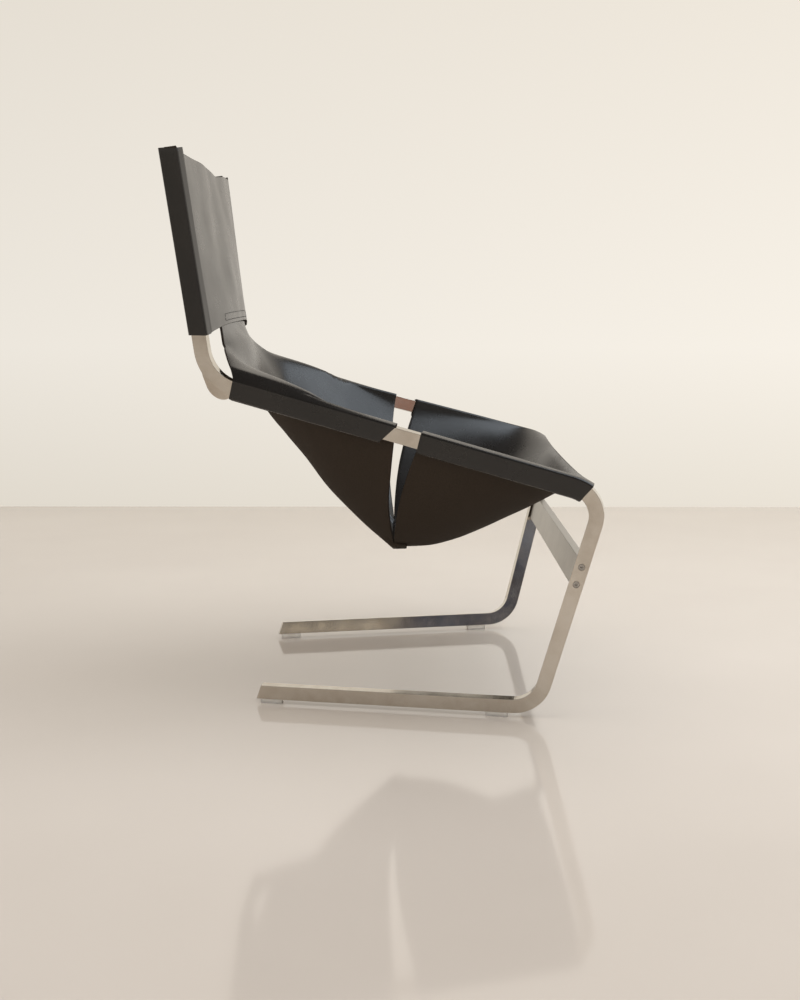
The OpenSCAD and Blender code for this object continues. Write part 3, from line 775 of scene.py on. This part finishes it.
def back_grid():
    far = HALF_BAR + GAP_MID
    n_in = BAR_T + GAP_MID
    path = np.concatenate([
        [[n_in, HALF_BAR * 0.6], [n_in, 0]],
        corner_arc(BAR_T, -HALF_BAR, 0, -90, GAP_MID, 5),
        [[BAR_T * 0.5, -far]],
        corner_arc(0, -HALF_BAR, 270, 180, GAP_MID, 5),
        [[-GAP_MID, HALF_BAR * a] for a in SIDE_SHARES],
        corner_arc(0, HALF_BAR, 180, 120, GAP_MID, 4)])
    rows = []
    for k in BACK_ROWS:
        t = mix(BACK_FOOT, BACK_TOP, k)
        rise = INNER_RISE * in_top(k)
        end = panel_pt(1, k)
        hem = panel_pt(1 - BACK_HEM / end[0], k)
        hems = [mix(end, hem, a) - [0, SEAM_GAP, 0] for a in HEM_SHARES]
        wrap = [upright_pt(t - CUT_FALL * q + rise * smooth(n / BAR_T) * (0.5 + 0.5 * q / far),
                           q, n) for n, q in path]
        nose = far + mix(*NOSE_GAPS, k)
        front = [upright_pt(t - CUT_FALL * far, mix(HALF_BAR + NOSE_START, nose, a),
                            mix(-0.2, n_in, a)) for a in NOSE_SHARES]
        rows.append(sheet_row(np.array(hems + wrap + front),
                              np.array([panel_pt(f, k) for f in BACK_COLUMNS])))
    g = np.array(rows)
    # the long sheet waves a little, and its top edge isn't straight
    first = len(hems) + len(path) + len(front)
    span = g[:, first:g.shape[1] - first]
    k = np.linspace(0, 1, len(rows))[:, None]
    x = span[..., 0]
    f = x / span[:, -1:, 0]
    free = (1 - f ** 2) * smooth(k * 3)
    span[..., 2] += in_top(k) * (TOP_RISE * smooth(x / TOP_RISE_W)
                                 - TOP_SAG * np.exp(-((x - TOP_SAG_X) / TOP_SAG_W) ** 2))
    span[..., 1] += free * sum(high * np.sin(k * upwards + f * across + start)
                               for high, upwards, across, start in WAVES)
    return g, [0] * g.shape[1]


g_rear, first_rear = rear_seat_grid()
g_front, first_front = front_seat_grid()
g_back, first_back = back_grid()
UPWARDS, FORWARDS = (0, 0, 1), (0, 1, 0)
leather_sheet("rear_seat", g_rear, first_rear, SEAT_MATS,
              "rear_seat_leather", UPWARDS)
leather_sheet("front_seat", g_front, first_front, SEAT_MATS,
              "front_seat_leather", UPWARDS)
leather_sheet("back", g_back, first_back, BACK_MATS,
              "back_panel", FORWARDS)


# Stitching, in metres

STITCH_PITCH, STITCH_SHARE, THREAD_D, THREAD_SIDES = 0.0055, 0.82, 0.0011, 6
# A stitch's rings, as (share of its length, share of its radius, height in radii)
STITCH_RINGS = ((0, 0.35, -0.5), (0.15, 0.9, 0.15), (0.5, 1.0, 0.4), (0.85, 0.9, 0.15),
                (1, 0.35, -0.5))
LOOK_AHEAD = 0.001  # how far before and behind a point its seam's direction is taken


def stitch_rows(name, rows):
    """Rows of thread: each row is (points, normals) along a seam, drawn as single stitches."""
    bm = bmesh.new()
    for pts, nrm in rows:
        pts, nrm = np.asarray(pts), np.asarray(nrm)
        at = np.concatenate([[0], np.cumsum(np.linalg.norm(np.diff(pts, axis=0), axis=1))])

        def between(values, s):
            return np.array([np.interp(s, at, values[:, a]) for a in range(3)])

        count = max(1, int(at[-1] / STITCH_PITCH))
        for c in range(count):
            s0 = (c + (1 - STITCH_SHARE) / 2) * at[-1] / count
            s1 = (c + (1 + STITCH_SHARE) / 2) * at[-1] / count
            rings = []
            for u, r, h in STITCH_RINGS:
                s = mix(s0, s1, u)
                p = between(pts, s)
                n = between(nrm, s)
                n /= np.linalg.norm(n)
                q0 = between(pts, max(s - LOOK_AHEAD, 0))
                q1 = between(pts, min(s + LOOK_AHEAD, at[-1]))
                t = (q1 - q0) / np.linalg.norm(q1 - q0)
                b = np.cross(t, n)
                middle = p + n * h * THREAD_D / 2
                ring = []
                for a in range(THREAD_SIDES):
                    w = a * 2 * math.pi / THREAD_SIDES
                    out = b * math.cos(w) + n * math.sin(w)
                    ring.append(bm.verts.new(middle + out * r * THREAD_D / 2))
                rings.append(ring)
            for r0, r1 in zip(rings, rings[1:]):
                for a in range(THREAD_SIDES):
                    b = (a + 1) % THREAD_SIDES
                    bm.faces.new([r0[a], r0[b], r1[b], r1[a]])
            bm.faces.new(rings[0][::-1])
            bm.faces.new(rings[-1])
    bmesh.ops.recalc_face_normals(bm, faces=bm.faces)
    on_body(name, bm, [thread])


def surface_point(p, n):
    """A point and normal, in metres, half the leather above a point of its middle surface."""
    return world(p + n * LEATHER_T / 2), [n[0], -n[1], n[2]]


def panel_line(start, end):
    """A straight seam on the panel's front between two (x, height above its foot) points."""
    out, nrm = [], []
    for a in np.linspace(0, 1, 12):
        x, k = mix(start[0], end[0], a), mix(start[1], end[1], a) / PANEL_H
        f = x / mix(PANEL_FOOT, PANEL_HEAD, k)[0]
        p, px, pk = panel_pt(f, k), panel_pt(f + NUDGE, k), panel_pt(f, k + NUDGE)
        n = np.cross(pk - p, px - p)
        n /= np.linalg.norm(n)
        if n[1] < 0:
            n = -n
        point, normal = surface_point(p, n)
        out.append(point)
        nrm.append(normal)
    return out, nrm


# A box of stitches holds the tongue to the panel
BOX_X, BOX_LOW, BOX_HIGH = 172.0, 7, 19
BOX = [(-BOX_X, BOX_LOW), (-BOX_X, BOX_HIGH), (BOX_X, BOX_HIGH), (BOX_X, BOX_LOW)]
stitch_rows("tongue_stitches", [panel_line(a, b) for a, b in zip(BOX, BOX[1:] + BOX[:1])])


SEAM_POINTS = 60
# Where the seams are, in rows or columns: how far from a sheet's cut edges they end, the hems'
# column, and the lap's rows in from the front piece's edge and the rear piece's edge
SEAM_INSET = 0.3
HEM_SEAM_COLUMN = 1.9
LAP_SEAMS_FRONT, LAP_SEAMS_REAR = (0.4, 1.8), (0.6, 2.2)


def sheet_line(g, first, rows, cols, grain, side):
    """A seam along part of a sheet's grid: rows and cols may lie between two of its lines.

    side is 1 for the side that grain points to, and -1 for the other."""
    n = grid_normals(g, covered(g, first))
    side *= 1 if np.dot(n[g.shape[0] // 2, g.shape[1] // 2], grain) > 0 else -1

    def between(values, i, j):
        i0, j0 = min(int(i), g.shape[0] - 2), min(int(j), g.shape[1] - 2)
        return mix(mix(values[i0, j0], values[i0, j0 + 1], j - j0),
                   mix(values[i0 + 1, j0], values[i0 + 1, j0 + 1], j - j0), i - i0)

    pts, nrm = [], []
    for i, j in zip(rows, cols):
        v = between(n, i, j)
        point, normal = surface_point(between(g, i, j), v / np.linalg.norm(v) * side)
        pts.append(point)
        nrm.append(normal)
    return pts, nrm


def hem_lines(g, first):
    """The seams that close both sleeves of a seat piece under their bars."""
    rows = np.linspace(max(first) + SEAM_INSET, g.shape[0] - 1 - SEAM_INSET, SEAM_POINTS)
    return [sheet_line(g, first, rows, np.full(SEAM_POINTS, c), UPWARDS, 1)
            for c in (HEM_SEAM_COLUMN, g.shape[1] - 1 - HEM_SEAM_COLUMN)]


def lap_line(g, first, row, side):
    """A seam across the lap of the two seat pieces."""
    edge = column_at(SEAM_SHARE) + SEAM_INSET
    cols = np.linspace(edge, g.shape[1] - 1 - edge, SEAM_POINTS)
    return sheet_line(g, first, np.full(SEAM_POINTS, row), cols, UPWARDS, side)


stitch_rows("seat_stitches",
            hem_lines(g_rear, first_rear) + hem_lines(g_front, first_front)
            + [lap_line(g_front, first_front, r, 1) for r in LAP_SEAMS_FRONT]
            + [lap_line(g_rear, first_rear, len(g_rear) - 1 - r, -1) for r in LAP_SEAMS_REAR])


# Camera: the photograph's, worked out from the floor's joints. Angles are in radians, its
# distance and height in metres, its lens and sensor in millimetres

YAW, PITCH, ROLL = math.radians(0.27), 0.14816, 0.00164
DIST, HEIGHT = 2.6941, 0.73296
LENS, SENSOR = 50.97, 36
ahead = Vector((math.cos(YAW), -math.sin(YAW), 0))
aside = Vector((-math.sin(YAW), -math.cos(YAW), 0))
up = Vector((0, 0, 1))
forward = ahead * math.cos(PITCH) - up * math.sin(PITCH)
above = up * math.cos(PITCH) + ahead * math.sin(PITCH)
image_x = aside * math.cos(ROLL) + above * math.sin(ROLL)
image_y = above * math.cos(ROLL) - aside * math.sin(ROLL)
lens = bpy.data.cameras.new("camera")
lens.lens = LENS
lens.sensor_width = SENSOR
camera = bpy.data.objects.new("camera", lens)
bpy.context.collection.objects.link(camera)
pose = Matrix((image_x, image_y, -forward)).transposed().to_4x4()
pose.translation = Vector((-DIST * math.cos(YAW), MID_U / 1000 + DIST * math.sin(YAW), HEIGHT))
camera.matrix_world = pose
bpy.context.scene.camera = camera


# Floor, wall and light, in metres

REACH = 9
WALL_X, WALL_H = 2.06, 2.3
CARD_X, CARD_Y, CARD_H = -2.9, (-2.4, -0.35), 1.25


def plane(name, corners, mat):
    mesh = bpy.data.meshes.new(name)
    mesh.from_pydata(corners, [], [tuple(range(len(corners)))])
    mesh.materials.append(mat)
    obj = bpy.data.objects.new(name, mesh)
    bpy.context.collection.objects.link(obj)
    return obj


def floor_material():
    mat, nt, shader = node_material("floor")
    clouds = texture(nt, NOISE, 1.3, Detail=3.0)
    feed(nt, shader, {"Base Color": ramp(nt, clouds, [(0.3, (0.585, 0.53, 0.475)),
                                                      (0.7, (0.625, 0.57, 0.515))])})
    set_inputs(shader, {"Roughness": 0.075})
    return mat


def wall_material():
    """Plaster that shows an even pale glow to the camera and in mirror images.

    From behind it is clear, so that the wall doesn't hide the chair there."""
    mat, nt, out = blank_material("wall")
    plaster = nt.nodes.new("ShaderNodeBsdfPrincipled")
    set_inputs(plaster, {"Base Color": (0.8, 0.75, 0.67, 1), "Roughness": 0.9})
    rays = nt.nodes.new("ShaderNodeLightPath").outputs
    seen = joined(nt, "ShaderNodeMath", rays["Is Camera Ray"], rays["Is Glossy Ray"],
                  operation="MAXIMUM")
    seen = joined(nt, "ShaderNodeMath", seen, rays["Is Transmission Ray"], operation="MAXIMUM")
    place = place_xyz(nt)
    tone = ramp(nt, to_range(nt, place["Z"], 0, 1, 0.0, 3.0),
                [(0.0, (0.80, 0.745, 0.655)), (0.18, (0.905, 0.855, 0.775)),
                 (0.7, (0.82, 0.76, 0.67))])
    glow = joined(nt, "ShaderNodeEmission", tone, to_range(nt, place["Y"], 1.03, 0.93, -1.4, 1.4))
    front = joined(nt, "ShaderNodeMixShader", seen, plaster.outputs[0], glow)
    behind = nt.nodes.new("ShaderNodeNewGeometry").outputs["Backfacing"]
    clear = nt.nodes.new("ShaderNodeBsdfTransparent").outputs[0]
    nt.links.new(joined(nt, "ShaderNodeMixShader", behind, front, clear), out.inputs[0])
    return mat


def card_material():
    """Dark, in bands that run from brown at the floor over blue to brown."""
    mat, nt, out = blank_material("card")
    shift = to_range(nt, texture(nt, NOISE, 3.5, stretch=(1, 1, 1.4), Detail=3.0),
                     -0.25, 0.25, 0.35, 0.65)
    level = joined(nt, "ShaderNodeMath", place_xyz(nt)["Z"], shift, operation="ADD")
    tone = ramp(nt, to_range(nt, level, 0, 1, -0.25, 1.25),
                [(0.1, (0.1, 0.08, 0.06)), (0.25, (0.045, 0.05, 0.075)),
                 (0.4, (0.04, 0.055, 0.1)), (0.5, (0.36, 0.37, 0.4)), (0.58, (0.06, 0.07, 0.11)),
                 (0.68, (0.3, 0.27, 0.26)), (0.8, (0.36, 0.21, 0.17))])
    nt.links.new(joined(nt, "ShaderNodeEmission", tone), out.inputs[0])
    return mat


def room_world():
    """A room that is pale below and dark above, and all pale where the camera sees it."""
    room = bpy.data.worlds.new("room")
    room.use_nodes = True
    nt = room.node_tree
    nt.nodes.clear()
    tone = ramp(nt, place_xyz(nt, "Generated")["Z"],
                [(0.0, (0.62, 0.57, 0.5)), (0.28, (0.55, 0.5, 0.44)), (0.5, (0.10, 0.095, 0.09)),
                 (1.0, (0.05, 0.05, 0.055))])
    pale = nt.nodes.new("ShaderNodeMix")
    pale.data_type = "RGBA"
    set_inputs(pale, {"B": (0.84, 0.79, 0.71, 1)})
    rays = nt.nodes.new("ShaderNodeLightPath").outputs
    feed(nt, pale, {"Factor": rays["Is Camera Ray"], "A": tone})
    background = joined(nt, "ShaderNodeBackground", pale.outputs["Result"])
    nt.links.new(background, nt.nodes.new("ShaderNodeOutputWorld").inputs[0])
    return room


plane("floor", [(-REACH, -REACH, 0), (REACH, -REACH, 0), (REACH, REACH, 0), (-REACH, REACH, 0)],
      floor_material())
plane("wall", [(WALL_X, -REACH, 0), (WALL_X, -REACH, WALL_H), (WALL_X, REACH, WALL_H),
               (WALL_X, REACH, 0)], wall_material())
bpy.context.scene.world = room_world()

# A dark card beside the camera that only mirror images show, for the far steel
card = plane("card", [(CARD_X, CARD_Y[0], 0), (CARD_X, CARD_Y[1], 0), (CARD_X, CARD_Y[1], CARD_H),
                      (CARD_X, CARD_Y[0], CARD_H)], card_material())
card.visible_camera = card.visible_diffuse = False
card.visible_shadow = card.visible_transmission = False

# Lamps: place, target, size, watts, colour, and whether mirror images show them
WARM, COOL = (1.0, 0.95, 0.9), (0.82, 0.91, 1.0)
LAMPS = {
    "ceiling": ((0.0, 0.0, 3.2), (0, 0, 0), (4.5, 4.5), 80, WARM, False),
    "skylight": ((0.1, -1.9, 2.8), (0, 0, 0.5), (3.2, 1.9), 46, COOL, True),
    "left": ((-0.4, 3.0, 1.3), (0, 0, 0.3), (3.0, 2.4), 24, WARM, False),
    "right": ((-0.4, -3.0, 1.3), (0, 0, 0.3), (3.0, 2.4), 36, WARM, False),
    "front": ((-4.2, 0.0, 1.5), (0, 0, 0.3), (4.0, 2.6), 50, WARM, False),
}
for name, (at, target, size, watts, color, mirrored_too) in LAMPS.items():
    lamp = bpy.data.lights.new(name, "AREA")
    lamp.shape = "RECTANGLE"
    lamp.size, lamp.size_y = size
    lamp.energy = watts
    lamp.color = color
    obj = bpy.data.objects.new(name, lamp)
    bpy.context.collection.objects.link(obj)
    obj.location = at
    obj.rotation_euler = (Vector(target) - Vector(at)).to_track_quat("-Z", "Y").to_euler()
    obj.visible_glossy = mirrored_too

bpy.context.scene.view_settings.view_transform = "Standard"
